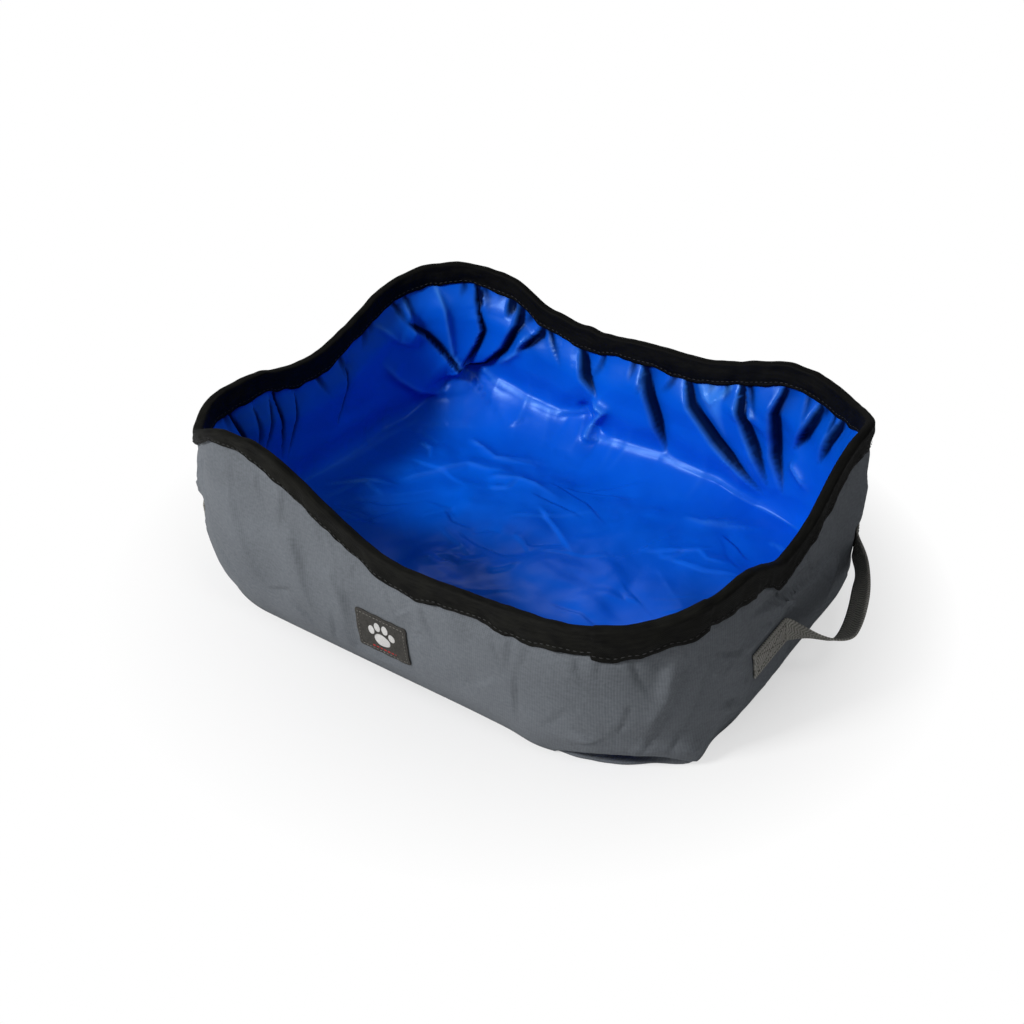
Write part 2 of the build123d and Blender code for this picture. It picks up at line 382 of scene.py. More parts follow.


# how far the folds lift each point, the painted highlight along a raised edge, and the painted shade in a slit
# where a fold steps, the cells are slid to lie along it
def foldField(points, facing, folds, cell):
    lift, edge, slit = np.zeros((3, len(points)))
    slide = np.zeros((len(points), 3))
    for each in folds:
        path = np.array(each["path"], float) * mm
        reach = foldSet["reach"] * max(each["width"], each["width"] * each["other"]) * mm
        close = np.all((points > path.min(0) - reach) & (points < path.max(0) + reach), axis=1)
        spots, faces = points[close], facing[close]
        ends = lengthsAlong(path)
        nearest, near, off, side, along = np.zeros((5, len(spots)))
        nearest += 9
        across = np.zeros((len(spots), 3))
        for start, end, before, span in zip(path, path[1:], ends, np.diff(ends)):
            run = (end - start) / span
            t = np.clip((spots - start) @ run, 0, span)
            away = spots - (start + t[:, None] * run)
            gap, proud = sizes(away), dots(away, faces)
            closer = gap < nearest
            nearest[closer], off[closer] = gap[closer], proud[closer]
            near[closer] = sizes(away - faces * proud[:, None])[closer]
            across[closer] = np.cross(faces, run)[closer]
            side[closer] = dots(away, across)[closer]
            along[closer] = (before + t)[closer]
        (first, last), (rise, fall) = each["ends"], each["grows"]
        share = along / ends[-1]
        taper = np.interp(share, [0, rise, 1 - fall, 1], [first, 1, 1, last])
        taper *= hump(off / mm / foldSet["offFade"])
        step, proud = abs(each["depth"] - each["lip"]), max(each["depth"], each["lip"])
        signed = np.sign(side) * near / mm
        if step > foldSet["slitStep"]:
            slid = np.round(signed / cell) * cell - signed
            slid *= taper * np.abs(side) / (near + 1e-9) * hump(signed / (foldSet["slideFade"] * cell))
            slide[close] += across * slid[:, None] * mm
            signed += slid
        width = np.where(signed > 0, each["width"], each["width"] * each["other"])
        onto = 1 / (1 + np.exp(-np.clip(signed / max(0.5, foldSet["stepOver"] * step), -30, 30)))
        height = each["lip"] + (each["depth"] - each["lip"]) * onto
        lift[close] += height * mm * taper * np.exp(foldSet["roundTop"] - np.hypot(signed / width, foldSet["roundTop"]))
        # painted highlight along the proud side of a fold
        line = hump((signed + (step > 0)) / foldSet["edgeWide"])
        edge[close] += (proud > 0) * taper * line * min(abs(proud) / foldSet["edgeFull"], 1)
        # a painted highlight band, or a painted shade band where the value is below 0
        if each["sheen"] > 0:
            edge[close] += each["sheen"] * taper * hump(signed / (1 + each["width"] * taper), 4)
        if each["sheen"] < 0:
            slit[close] -= each["sheen"] * taper * hump(signed / each["width"])
        # painted shade in a slit, darkest near its top
        if each["depth"] < each["lip"] and step > foldSet["slitStep"]:
            wide = np.sin(share * pi)                # a slit is widest half way down
            shift, spread = (least + more * wide for least, more in (foldSet["darkOff"], foldSet["darkWide"]))
            shadow = hump((signed - shift) / spread, foldSet["darkSharp"])
            shadow += foldSet["shade"] * (signed > 0) * hump(signed / foldSet["shadeWide"])
            shadow *= foldSet["darkTop"] - foldSet["darkFade"] * share
            slit[close] += foldSet["slitDark"] * taper * shadow * min(abs(each["depth"]) / foldSet["slitFull"], 1)
    return lift, np.clip(edge, 0, 1), np.clip(slit, 0, 1), slide


# a grid bent to shape(u, v), which gives places and UVs; u runs along the sheet and v down it
def sheetGrid(name, form, shape, offset=-1, closed=True, centre=False, creased=False):
    mesh = bmesh.new()
    bmesh.ops.create_grid(mesh, x_segments=form["columns"], y_segments=form["rows"], size=0.5)
    flat = np.array([v.co for v in mesh.verts])
    u, v = flat[:, 0] + 0.5, 0.5 - flat[:, 1]
    places, uvs = shape(u, v)
    layer = mesh.loops.layers.uv.new("cloth")
    mesh.verts.index_update()
    for face in mesh.faces:
        for loop in face.loops:
            loop[layer].uv = uvs[loop.vert.index]
    for vert, place in zip(mesh.verts, places):
        vert.co = place
    if closed:
        seam = [vert for vert, a in zip(mesh.verts, u) if a < 1e-6 or a > 1 - 1e-6]
        bmesh.ops.remove_doubles(mesh, verts=seam, dist=1e-6)
    if centre:
        bmesh.ops.remove_doubles(mesh, verts=mesh.verts, dist=1e-6)
    if creased:
        bmesh.ops.triangulate(mesh, faces=mesh.faces, quad_method="SHORT_EDGE")
    piece = addPiece(name, mesh)
    if "thick" in form:
        solid = piece.modifiers.new("thickness", "SOLIDIFY")
        solid.thickness, solid.offset = form["thick"] * mm, offset
    return piece


# rows of raised thread stitches, each turned to lie on the cloth; a row has its places and the way out
def stitchPiece(name, rows, stitch):
    mesh = bmesh.new()
    step, length, thick = (size * mm for size in stitch)
    size = Matrix.Diagonal((length / 2, thick / 2, thick / 2, 1))
    for places, facing in rows:
        gaps = lengthsAlong(places)
        for at in np.arange(step / 2, gaps[-1], step):
            spot, out = Vector(between(at, gaps, places)), Vector(between(at, gaps, facing)).normalized()
            run = Vector(between(at + 0.3 * mm, gaps, places) - between(at - 0.3 * mm, gaps, places)).normalized()
            turn = Matrix((run, out.cross(run), out)).transposed().to_4x4()
            bmesh.ops.create_uvsphere(mesh, u_segments=6, v_segments=5, radius=1,
                                      matrix=Matrix.Translation(spot) @ turn @ size)
    return addPiece(name, mesh)


outerWall = {
    "columns": 620, "rows": 60, "cell": 2.3, "under": 6, "plump": 2.0, "thick": 0.5,
    "sewnLift": 0.5, "hollowest": -0.3, "hemWave": ((60, 0.5, 9.0),), "archWave": ((11, 0.8, 3.0),),
    "swells": ((64, 1.8, 0.0), (27, 0.84, 7.0)),             # mm between swells, mm high, start
    "gathers": {**scatter, "count": 78, "seed": 4, "depth": (-2.6, -0.8), "width": (1.6, 3.2), "length": (14, 50),
                "hang": 15, "inset": 0},
    "wrinkles": {"count": 110, "seed": 12, "corner": (240, 345), "rest": (235, 170 + rimRound), "middle": (22, 78),
                 "length": (18, 62), "slope": (-2.2, 2.2), "bend": (-3, 3), "depth": (0.6, 2.2),
                 "width": (1.6, 3.5), "other": (1, 4)},
    "calm": ((3, 25, 42, 19), (304, 30, 49, 12), (485, 30, 49, 12),
             (1014.4, 30, 49, 12), (1195.4, 30, 49, 12)),    # s, half length, height, half height
    "pucker": (143, 224), "puckerLift": 12, "hemHeight": 0.8, "hemEase": 34, "footEase": 20,
    "hemPoints": ((222, 15, 11), (190, 42, 5), (128, 16, 2)),      # s, reach, mm out
    "foldsFrom": (17, 12), "swellsFrom": (15, 40),           # mm below the rim, and over how far they start
    "calmEase": 12,
    # s and height of each crease's corners
    "creases": [
        fold(3.2, 3, 4, [(-76, 104), (-70, 70), (-62, 30)]),
        fold(2.7, 3, 3, [(-43, 84), (-33, 66), (-22, 36)]),
        fold(2.4, 4, 3, [(-132, 112), (-126, 80), (-114, 36)]),
        fold(-2.0, 3, 4, [(209, 94), (203, 76), (200, 60)]),
        fold(-3.0, 1.4, 5, [(226, 92), (210, 58), (192, 16)], last=0.6, lip=0.9),
        fold(-2.6, 1.4, 5, [(240, 84), (226, 54), (208, 18)], last=0.5, lip=0.8),
        fold(-1.6, 1.2, 4, [(252, 76), (240, 54), (224, 26)], lip=0.6),
        fold(-1.4, 1.5, 4, [(186, 60), (182, 44), (176, 30)], lip=0.6),
        fold(2.0, 4, 3, [(178, 27), (150, 23), (112, 30)]),
        fold(2.0, 4, 3, [(188, 22), (210, 15), (236, 11)]),
        fold(1.8, 3, 3, [(214, 86), (206, 60), (190, 28)]),
        fold(-5.3, 6, 1.4, [(276, 92), (308, 84), (345, 74), (380, 66), (417, 68)], rise=0.3, lip=2.7),
        fold(3.2, 4, 2, [(262, 74), (290, 66), (335, 62)], rise=0.3),
        fold(-4.6, 3, 3, [(318, 84), (332, 76), (343, 66)], lip=2.4),
        fold(3.2, 4, 2, [(420, 60), (400, 40), (385, 18)]),
        fold(-4.1, 3, 3, [(470, 100), (455, 70), (440, 46)], lip=2.1),
        fold(-4.1, 3, 3, [(700, 90), (690, 60), (665, 36)], lip=2.1),
        fold(3.2, 3, 3, [(760, 88), (775, 60), (790, 26)]),
        fold(-4.3, 3, 3, [(900, 120), (890, 80), (865, 44)], lip=2.2),
        fold(-3.8, 3, 3, [(1050, 80), (1062, 60), (1060, 26)], lip=2),
        fold(3.2, 3, 3, [(1230, 100), (1215, 60), (1200, 26)]),
    ],
}


def calmness(s, z):
    calm = np.ones(len(s))
    for at, halfLong, height, halfTall in outerWall["calm"]:
        off = np.abs(fromPlace(s, at)) - halfLong
        calm *= smoothstep(np.maximum(off, np.abs(z / mm - height) - halfTall) / outerWall["calmEase"])
    return calm


def onWall(each, inset=0.0):
    s, z = (np.interp(np.linspace(0, 1, 9), np.linspace(0, 1, len(each["path"])), column)
            for column in zip(*each["path"]))
    points, out = outline(s, z * mm, inset * mm)
    return {**each, "path": points / mm}


# small creases that run down from the binding, where the cloth is gathered into it
def gatherFolds(ranges):
    draw = Draws(ranges)
    for index in range(ranges["count"]):
        jitter, length, drift, depth, width, other = draw("jitter", "length", "drift", "depth", "width", "other")
        s = (index + jitter) * rimRound / ranges["count"]
        top = around(crest, s) / mm - ranges["hang"]
        path = [(s, top), (s + drift * length * 0.4, top - length * 0.5), (s + drift * length, top - length)]
        yield onWall(fold(depth, width, other, path, first=1, rise=0.05, fall=0.8, lip=-0.5 * depth), ranges["inset"])


# slanting wrinkles, closer together round the front right corner
def wrinkleFolds(ranges):
    draw = Draws(ranges)
    for index in range(ranges["count"]):
        s, middle, length, slope, bend, depth = draw("corner" if index % 5 < 2 else "rest", "middle", "length",
                                                     "slope", "bend", "depth")
        tall = length / (1 + slope * slope) ** 0.5
        path = [(s - slope * tall / 2, middle + tall / 2), (s + bend, middle),
                (s + slope * tall / 2, middle - tall / 2)]
        depth *= draw.sign()
        yield onWall(fold(depth, *draw("width", "other"), path, rise=0.4, fall=0.5, lip=-0.5 * depth))


wallFolds = [*map(onWall, outerWall["creases"]), *wrinkleFolds(outerWall["wrinkles"]),
             *gatherFolds(outerWall["gathers"])]


# how far the cloth's foot stands out at its kinks
def hemReach(s):
    return sum(proud * mm * hump((np.asarray(s) - at) / reach) for at, reach, proud in outerWall["hemPoints"])


def wallSurface(s, z):
    points, out = outline(s, z, 0)
    drop = around(crest, s) - z
    swell = waves(outerWall["swells"], s, 0, z / mm * 0.6)
    creases, _, _, slide = foldField(points, out, wallFolds, outerWall["cell"])
    (foldStart, foldOver), (swellStart, swellOver) = outerWall["foldsFrom"], outerWall["swellsFrom"]
    free = smoothstep(z / mm / outerWall["footEase"]) * smoothstep((drop / mm - foldStart) / foldOver)
    free *= calmness(s, z)
    lift = (outerWall["plump"] + swell * smoothstep((drop / mm - swellStart) / swellOver)) * mm + creases
    lift = np.maximum(lift, outerWall["hollowest"] * mm) * free
    lift += (1 - free) * outerWall["sewnLift"] * mm * (np.minimum(z, drop) > 0.02)
    lift += hemReach(s) * (1 - smoothstep(z / mm / outerWall["hemEase"]))
    return points + slide * free[:, None] + out * lift[:, None], out


def puckerShare(s):
    start, end = outerWall["pucker"]
    return np.clip((s - start) / (end - start), 0, 1)


def wallShape(u, v):
    s = u * rimRound
    top = around(crest, s) - outerWall["under"] * mm
    along = puckerShare(s)
    arch = np.sin(along * pi) ** 0.7 * outerWall["puckerLift"] + waves(outerWall["archWave"], s) * (along % 1 > 0)
    hem = outerWall["hemHeight"] + arch + np.maximum(waves(outerWall["hemWave"], s), 0)
    z = top * (1 - v) + hem * mm * v
    points, out = wallSurface(s, z)
    return points, np.stack([s * mm, z], -1)


wallPiece = sheetGrid("outerWall", outerWall, wallShape, creased=True)
print("outer wall made")

liner = {
    "frontCells": 190, "endCells": 150, "slopeRows": 18, "wallRows": 58, "cell": 2.1,
    "under": 5, "topInset": 3.2, "fullInset": 13, "creaseInset": 6.5, "floor": 5, "slope": 50, "foot": 8,
    "leanFrom": (15.5, 32), "creaseEase": 30,                # mm below the rim, and over how far it leans in
    "foldsFrom": 14.5, "bulgesOver": 24, "hollowsOver": 8,   # and the same for its folds
    "wallRoom": 1.8, "footRoom": 2.6, "floorRoom": 1.4,      # clear of the outer wall, and of the base
    # how far below the folds' start the painted highlight fades in, and its share on the floor
    "paleFrom": 6, "paleOnFloor": 0.35,
    # s and height of the crease between wall and floor
    "crease": ((0, 12), (125, 12), (200, 16), (274, 12), (355, 10), (436, 9), (500, 7), (550, 6), (585, 9),
               (625, 19), (680, 24), (720, 22), (748, 20), (765, 36), (790, 31), (820, 34), (860, 42),
               (890, 48), (905, 44), (925, 26), (945, 14), (985, 8), (1066, 7), (1147, 9), (1221, 16), (1296, 12)),
    "wallSwells": ((70, 1.6, 2.0), (32, 0.9, 5.0)), "swellDrift": 60, "swellsOnWall": 0.3,
    "floorSwells": ((13, 5.5), (30, 3.2), (75, 0.9)),        # swells a metre, mm
    "folds": [
        # the back left corner, where the pleats meet in a point
        fold(5, 3, 4, [(-210, 115, 125), (-210, 118, 105), (-210, 120, 85)], first=1),
        fold(-8, 10, 2.5, [(-212, 112, 108), (-204, 130, 92), (-192, 145, 72), (-180, 155, 55)], last=1, lip=4.4),
        fold(7, 4, 3, [(-195, 140, 135), (-190, 145, 115), (-185, 150, 70), (-175, 155, 55)], first=1, last=1),
        slitFold(-8, 3, 4, 2.2, [(-165, 160, 135), (-165, 165, 110)]),
        fold(-6, 4, 3, [(-165, 165, 115), (-160, 165, 95), (-165, 160, 80), (-175, 155, 60)], last=1, lip=3.85),
        slitFold(-9, 3, 4, 2.2, [(-135, 170, 130), (-135, 170, 110)]),
        fold(-9, 9, 2, [(-125, 170, 125), (-125, 170, 105), (-140, 170, 80), (-160, 165, 60), (-175, 155, 55)],
             first=1, last=1, lip=4.4),
        fold(6, 3, 3, [(-112, 170, 100), (-125, 170, 78), (-150, 168, 58)]),
        slitFold(-9, 4, 3, 2.75, [(-100, 170, 115), (-105, 170, 100), (-125, 170, 80)]),
        fold(5, 8, 0.3, [(-215, 80, 115), (-215, 100, 95), (-210, 120, 85)]),
        fold(8, 12, 0.25, [(-215, 80, 80), (-215, 95, 60), (-205, 120, 40), (-195, 145, 30), (-165, 160, 40)]),
        # the left end
        slitFold(-3, 3, 2.5, 3, [(-215, -70, 100), (-215, -72, 85), (-215, -75, 60)]),
        slitFold(-3, 3, 2.5, 3, [(-215, -52, 100), (-215, -60, 80), (-215, -68, 55)]),
        slitFold(-3, 4, 2, 3, [(-215, -22, 92), (-215, -30, 70), (-215, -40, 40)]),
        slitFold(-4, 5, 2.5, 3, [(-215, 38, 92), (-215, 30, 70), (-215, 22, 40)]),
        fold(3.5, 5, 2, [(-215, -20, 8), (-215, 60, 6), (-212, 100, 8), (-195, 140, 14)], rise=0.3),
        # the crease along the back
        fold(4.2, 2.5, 1.3, [(-160, 165, 50), (-150, 170, 42), (-110, 170, 34), (-80, 170, 31), (-45, 170, 42)],
             first=1),
        fold(9, 4, 1, [(-45, 170, 55), (-30, 170, 50), (-45, 170, 30), (-45, 170, 20)], last=1),
        fold(3.8, 2.4, 1.3, [(-45, 170, 20), (-10, 170, 22), (30, 170, 24), (85, 170, 20), (125, 170, 9),
                             (155, 165, 6)], first=1),
        fold(-6, 6, 0.5, [(-60, 168, 48), (-46, 166, 34), (-30, 160, 22)]),
        # slits and bulges under the binding along the back
        slitFold(-9, 10, 2.2, 4, [(-65, 170, 105), (-55, 170, 75), (-40, 170, 58)]),
        slitFold(-10, 11, 2.0, 5, [(0, 170, 100), (5, 170, 85), (20, 170, 50), (30, 170, 25)]),
        slitFold(-8, 9, 2.2, 5, [(40, 170, 100), (50, 170, 80), (75, 170, 55), (125, 170, 20)]),
        # painted highlight on the bulge between the slits, and along its W-shaped top
        fold(2.2, 8, 1, [(62, 170, 100), (73, 170, 82), (86, 170, 58)], first=1, fall=0.8, sheen=1.0),
        fold(3.0, 1.6, 1, [(50, 170, 104), (60, 170, 90), (67, 170, 87), (73, 170, 94), (84, 170, 108)],
             rise=0.1, fall=0.1, sheen=0.6),
        slitFold(-7, 12, 1.6, 6, [(88, 170, 113), (94, 170, 90), (102, 170, 72), (116, 170, 50), (128, 170, 28)]),
        slitFold(-10, 12, 1.8, 7, [(128, 170, 120), (122, 170, 95), (127, 170, 58), (143, 170, 28)]),
        slitFold(-10, 10, 1.6, 5, [(160, 165, 115), (155, 165, 95), (145, 170, 70)]),
        fold(6, 5, 1, [(145, 170, 60), (170, 160, 45)]),
        slitFold(-9, 7, 2, 4, [(185, 152, 125), (180, 155, 100), (172, 158, 70)]),
        slitFold(-9, 7, 2, 4, [(205, 130, 125), (205, 130, 95)]),
        fold(5, 14, 1, [(105, 168, 92), (100, 168, 78)], rise=0.4, fall=0.5),
        # the floor
        fold(4.6, 7, 0.4, [(-120, 145, 12), (-110, 170, 10), (-95, 170, 8)]),
        fold(4.1, 8, 0.4, [(-145, 120, 0), (-105, 105, 0), (-65, 115, 0)]),
        fold(3.7, 8, 0.4, [(-95, 75, 0), (-65, 85, 0), (-20, 80, 0)]),
        fold(3.7, 9, 0.4, [(75, 115, 0), (95, 115, 0), (150, 150, 0)]),
        fold(-3.2, 10, 0.5, [(90, -5, 0), (84, 30, 0), (80, 55, 0)]),
        fold(4.1, 12, 0.3, [(-155, 30, 0), (-120, 85, 0), (-70, 90, 0)]),
        fold(-2.8, 8, 0.5, [(-165, -50, 0), (-95, -70, 0)]),
        fold(3, 10, 0.4, [(-60, -60, 0), (-45, -10, 0)]),
        # a broad hollow on the right of the floor, with painted shade in it
        fold(-7, 26, 1.2, [(110, 60, 0), (150, 20, 0), (178, -30, 0)], rise=0.4, fall=0.4, sheen=-0.28),
    ],
    # the other walls: s of each pleat, how far it leans as it falls, its depth
    "pleats": ((-120, 14, 6), (-72, -10, 7), (-30, 8, 6), (18, -9, 7), (62, 12, 6), (104, -8, 7), (150, 10, 8),
               (178, -6, 8), (206, 8, 8), (236, -8, 7), (276, 10, 6), (322, -12, 6), (372, 9, 7), (418, -9, 6),
               (1110, 8, 5), (1160, -8, 7), (1196, 7, 8), (1228, -8, 8), (1262, 9, 7)),
    "pleatForm": {"width": 9, "other": 0.5, "first": 1, "fall": 0.7, "lip": 0.5}, "pleatHang": 16, "pleatInset": 6,
    "gathers": {**scatter, "count": 88, "seed": 21, "depth": (-4.0, -1.0), "width": (1.2, 2.4), "length": (10, 40),
                "hang": 13, "inset": 6},
    "creases": {"count": 84, "seed": 8, "x": (-195, 195), "y": (-145, 145), "angle": (-0.9, 1.3),
                "length": (18, 84), "bend": (-8, 8), "depth": (0.6, 2.6), "width": (3, 8), "other": (0.4, 2)},
    "tucks": {"count": 44, "jitter": (-0.4, 0.4), "drift": (-18, 18), "depth": (0.5, 1.6), "width": (2, 5),
              "other": (0.5, 3), "downs": (0.75, 1.1, 1.6)},
}


# the liner from its top edge (down 0) to the crease (1), and on down the slope to the floor (2)
def linerWall(s, down):
    rim = around(crest, s)
    top = rim - liner["under"] * mm
    crease = tableAround(liner["crease"], s) * mm
    onSlope = np.clip(down - 1, 0, 1)
    z = top + (crease - top) * np.clip(down, 0, 1)
    start, over = liner["leanFrom"]
    full = smoothstep(((rim - z) / mm - start) / over)
    low = smoothstep((z - crease) / mm / liner["creaseEase"])
    lean = liner["topInset"] + (liner["fullInset"] - liner["topInset"]) * full
    lean = liner["creaseInset"] + (lean - liner["creaseInset"]) * low
    inset = (lean + liner["slope"] * onSlope) * mm
    z = z - (crease - liner["floor"] * mm) * (1 - (1 - onSlope) ** 2.2)
    points, out = outline(s, np.maximum(z, liner["foot"] * mm), inset)
    points[..., 2] = z
    angle = onSlope[..., None] * pi / 2
    return points, np.array([0, 0, 1]) * np.sin(angle) - out * np.cos(angle), rim, lean


# a grid for the floor, whose edge is then extruded up the slope and the wall
def linerMesh():
    mesh = bmesh.new()
    for key in ("pale", "slit"):
        mesh.verts.layers.float.new(key)
    bmesh.ops.create_grid(mesh, x_segments=liner["frontCells"], y_segments=liner["endCells"], size=0.5)
    flat = np.array([v.co for v in mesh.verts])
    u, v = flat[:, 0] + 0.5, flat[:, 1] + 0.5
    quarter = pi * tubForm["rimCorner"] / 4
    half, side = tubForm["longRun"] + quarter, tubForm["shortRun"] + quarter
    sides = (-half + 2 * half * u, half + 2 * side + 2 * half * (1 - u), -half - 2 * side * v, half + 2 * side * v)
    ring = [linerWall(s, 2.0)[0] for s in sides]
    corners = linerWall(np.array([-half, half, half + 2 * side, 3 * half + 2 * side]), 2.0)[0]
    a, b = u[:, None], v[:, None]
    places = (1 - b) * ring[0] + b * ring[1] + (1 - a) * ring[2] + a * ring[3]
    places -= (1 - a) * (1 - b) * corners[0] + a * (1 - b) * corners[1]
    places -= a * b * corners[2] + (1 - a) * b * corners[3]
    spot = {}
    edges = (v < 1e-6, v > 1 - 1e-6, u < 1e-6, u > 1 - 1e-6)
    for index, vert in enumerate(mesh.verts):
        vert.co = places[index]
        for on, s in zip(edges, sides):
            if on[index]:
                spot[vert] = (s[index], 2.0)
    rows = [2 - k / liner["slopeRows"] for k in range(1, liner["slopeRows"] + 1)]
    rows += [1 - k / liner["wallRows"] for k in range(1, liner["wallRows"] + 1)]
    last, growing = dict(spot), [edge for edge in mesh.edges if edge.is_boundary]
    for down in rows:
        grown = bmesh.ops.extrude_edge_only(mesh, edges=growing)["geom"]
        growing = [part for part in grown if isinstance(part, bmesh.types.BMEdge) and part.is_boundary]
        fresh = {}
        for vert in grown:
            if isinstance(vert, bmesh.types.BMVert):
                below = next(end for end in (edge.other_vert(vert) for edge in vert.link_edges) if end in last)
                fresh[vert] = (last[below][0], down)
        spot.update(fresh)
        last = fresh
    return mesh, spot


def pleatFolds():
    for s, drift, depth in liner["pleats"]:
        top = around(crest, s) / mm - liner["pleatHang"]
        path = [(s, top), (s + drift * 0.4, top * 0.7), (s + drift, top * 0.35)]
        yield onWall(fold(-1.2 * depth, path=path, **liner["pleatForm"]), liner["pleatInset"])


# short creases across the floor, then tucks where it turns up into the wall
def crumpleFolds(creases, tucks):
    draw = Draws(creases)
    for index in range(creases["count"]):
        x, y, angle, length, bend = draw("x", "y", "angle", "length", "bend")
        middle, ahead = np.array([x, y, 3.0]), np.array([cos(angle), sin(angle), 0]) * length / 2
        across = np.array([-sin(angle), cos(angle), 0]) * bend
        sign, (depth, width, other) = draw.sign(), draw("depth", "width", "other")
        yield fold(sign * depth, width, other, [middle - ahead, middle + across, middle + ahead],
                   lip=-0.25 * sign * depth)
    draw = Draws(tucks, draw.rng)
    for index in range(tucks["count"]):
        jitter, drift = draw("jitter", "drift")
        s = (index + jitter) * rimRound / tucks["count"]
        path = linerWall(np.array([s, s + drift * 0.5, s + drift]), np.array(tucks["downs"]))[0] / mm
        sign, (depth, width, other) = draw.sign(), draw("depth", "width", "other")
        yield fold(sign * depth, width, other, path, rise=0.4, fall=0.5)


def makeLiner():
    mesh, spot = linerMesh()
    verts = list(mesh.verts)
    s, down = np.array([spot.get(vert, (0, 3)) for vert in verts], float).T
    points, inward, rim, lean = linerWall(s, np.minimum(down, 2))
    flatPart = down > 2.5
    points[flatPart] = [vert.co for vert in verts if vert not in spot]
    onFloor = smoothstep(down - 1)
    walls = waves(liner["wallSwells"], s, points[:, 2] / mm / liner["swellDrift"])
    floors = sum(size * unevenness(points, fineness, 3.0) for fineness, size in liner["floorSwells"])
    floors *= liner["swellsOnWall"] + (1 - liner["swellsOnWall"]) * onFloor
    lift = (walls * (1 - onFloor) + floors) * mm
    folds = [*liner["folds"], *pleatFolds(), *crumpleFolds(liner["creases"], liner["tucks"]),
             *gatherFolds(liner["gathers"])]
    folded, edge, slit, slide = foldField(points, inward, folds, liner["cell"])
    lift += folded
    below = (rim - points[:, 2]) / mm - liner["foldsFrom"]
    free = smoothstep(below / np.where(lift > 0, liner["bulgesOver"], liner["hollowsOver"]))
    free[flatPart] = 1
    lift *= free
    low = 1 - smoothstep((points[:, 2] / mm - liner["foot"]) / 10)
    deepest = np.maximum((lean - liner["wallRoom"] - liner["footRoom"] * low) * mm, 0.3 * mm)
    lift = np.where((lift < 0) & (onFloor < 0.5), -deepest * np.tanh(-lift / deepest), lift)
    points += inward * lift[:, None] + slide * free[:, None]
    spare = (liner["floor"] - liner["floorRoom"]) * mm       # the floor never sinks through the base
    sunk = np.minimum(points[:, 2] - liner["floor"] * mm, 0)
    points[:, 2] -= spare * np.tanh(-sunk / spare) + sunk
    # the painted highlight and the painted slit shade are kept on the sheet for its finish
    pale, dark = (mesh.verts.layers.float[key] for key in ("pale", "slit"))
    edge *= smoothstep(((rim - points[:, 2]) / mm - liner["foldsFrom"]) / liner["paleFrom"])
    edge[flatPart] *= liner["paleOnFloor"]
    for vert, point, ridge, depth in zip(verts, points, edge, slit):
        vert.co = point
        vert[pale], vert[dark] = ridge, depth
    bmesh.ops.triangulate(mesh, faces=mesh.faces, quad_method="SHORT_EDGE")
    bmesh.ops.recalc_face_normals(mesh, faces=mesh.faces)
    mesh.faces.ensure_lookup_table()
    if mesh.faces[0].normal.z < 0:
        bmesh.ops.reverse_faces(mesh, faces=mesh.faces)
    return addPiece("linerSheet", mesh)


linerPiece = makeLiner()
print("liner made, faces", len(linerPiece.data.polygons))

binding = {
    "columns": 1000, "rows": 32, "height": 19, "outGap": 2.2, "inGap": 5.2, "bead": 2.1, "thick": 0.5,
    "crestShare": 0.22, "tightest": (-0.7, -0.4), "pull": ((19, 2.0, 0.0), (8, 1.0, 4.0), (36, 1.8, 8.0)),
    "hem": ((36, 4.0, 1.0), (17, 2.0, 6.0), (8, 1.1, 3.0)), "crest": ((48, 1.2, 2.0), (15, 0.8, 5.0), (8, 0.4, 9.0)),
    "seam": 0.84, "seamDepth": 0.9, "seamWide": 0.07, "pullFrom": 0.5, "stitch": (4.4, 3.0, 0.55),
    "threadLift": 0.55, "lap": (163, 236), "lapThick": 0.9, "lapDrop": 2.5,
    # s and height of the outside, which is rolled under along the left
    "outside": ((0, 16), (60, 16), (100, 17), (163, 18), (236, 18), (300, 21), (340, 20), (400, 19), (1100, 18),
                (1180, 16), (1215, 12), (1260, 10), (1300, 11), (1340, 14), (1380, 16)),
}


# v runs from the lower edge outside, over the crest, to the lower edge inside
def bindingShape(u, v):
    s = u * rimRound
    side, outer = np.abs(v - 0.5) * 2, v < 0.5
    down = np.clip((side - binding["crestShare"]) / (1 - binding["crestShare"]), 0, 1)
    angle = np.clip(side / binding["crestShare"], 0, 1) * pi / 2
    apart = np.where(outer, 0, 40)                       # so that the inside has other unevenness
    pull, hemUneven, crestUneven = (waves(binding[key], s, shift + down * 0.8)
                                    for key, shift in (("pull", apart), ("hem", apart), ("crest", 0)))
    start, end = binding["lap"]
    lap = ((s > start) & (s < end)) * 1.0
    top = around(crest, s) + crestUneven * mm
    hem = np.where(outer, tableAround(binding["outside"], s), binding["height"])
    hem = hem + hemUneven + binding["lapDrop"] * lap - binding["bead"]
    z = top - binding["bead"] * mm * (1 - np.cos(angle)) - hem * mm * down
    pull = pull * smoothstep(down / binding["pullFrom"])
    pull -= binding["seamDepth"] * hump((down - binding["seam"]) / binding["seamWide"])
    pull = np.maximum(pull, np.where(outer, *binding["tightest"])) + binding["lapThick"] * lap * np.sin(angle)
    middle, reach = (binding["inGap"] - binding["outGap"]) / 2, (binding["inGap"] + binding["outGap"]) / 2
    inset = middle + np.where(outer, -1, 1) * (reach * np.sin(angle) + pull)
    points, out = outline(s, z, inset * mm)
    return points, np.stack([s * mm, v * 2 * binding["height"] * mm], -1)


bindingPiece = sheetGrid("rimBinding", binding, bindingShape, 1)

hoop = {"columns": 720, "rows": 12, "wire": 2.0}


def hoopShape(u, v):
    s, angle, radius = u * rimRound, 2 * pi * v, hoop["wire"] / 2 * mm
    points = outline(s, around(hoopTop, s) - radius * (1 - np.cos(angle)),
                     tubForm["hoopInset"] * mm + radius * np.sin(angle))[0]
    return points, np.stack([s * mm, radius * angle], -1)


hoopPiece = sheetGrid("springHoop", hoop, hoopShape, centre=True)


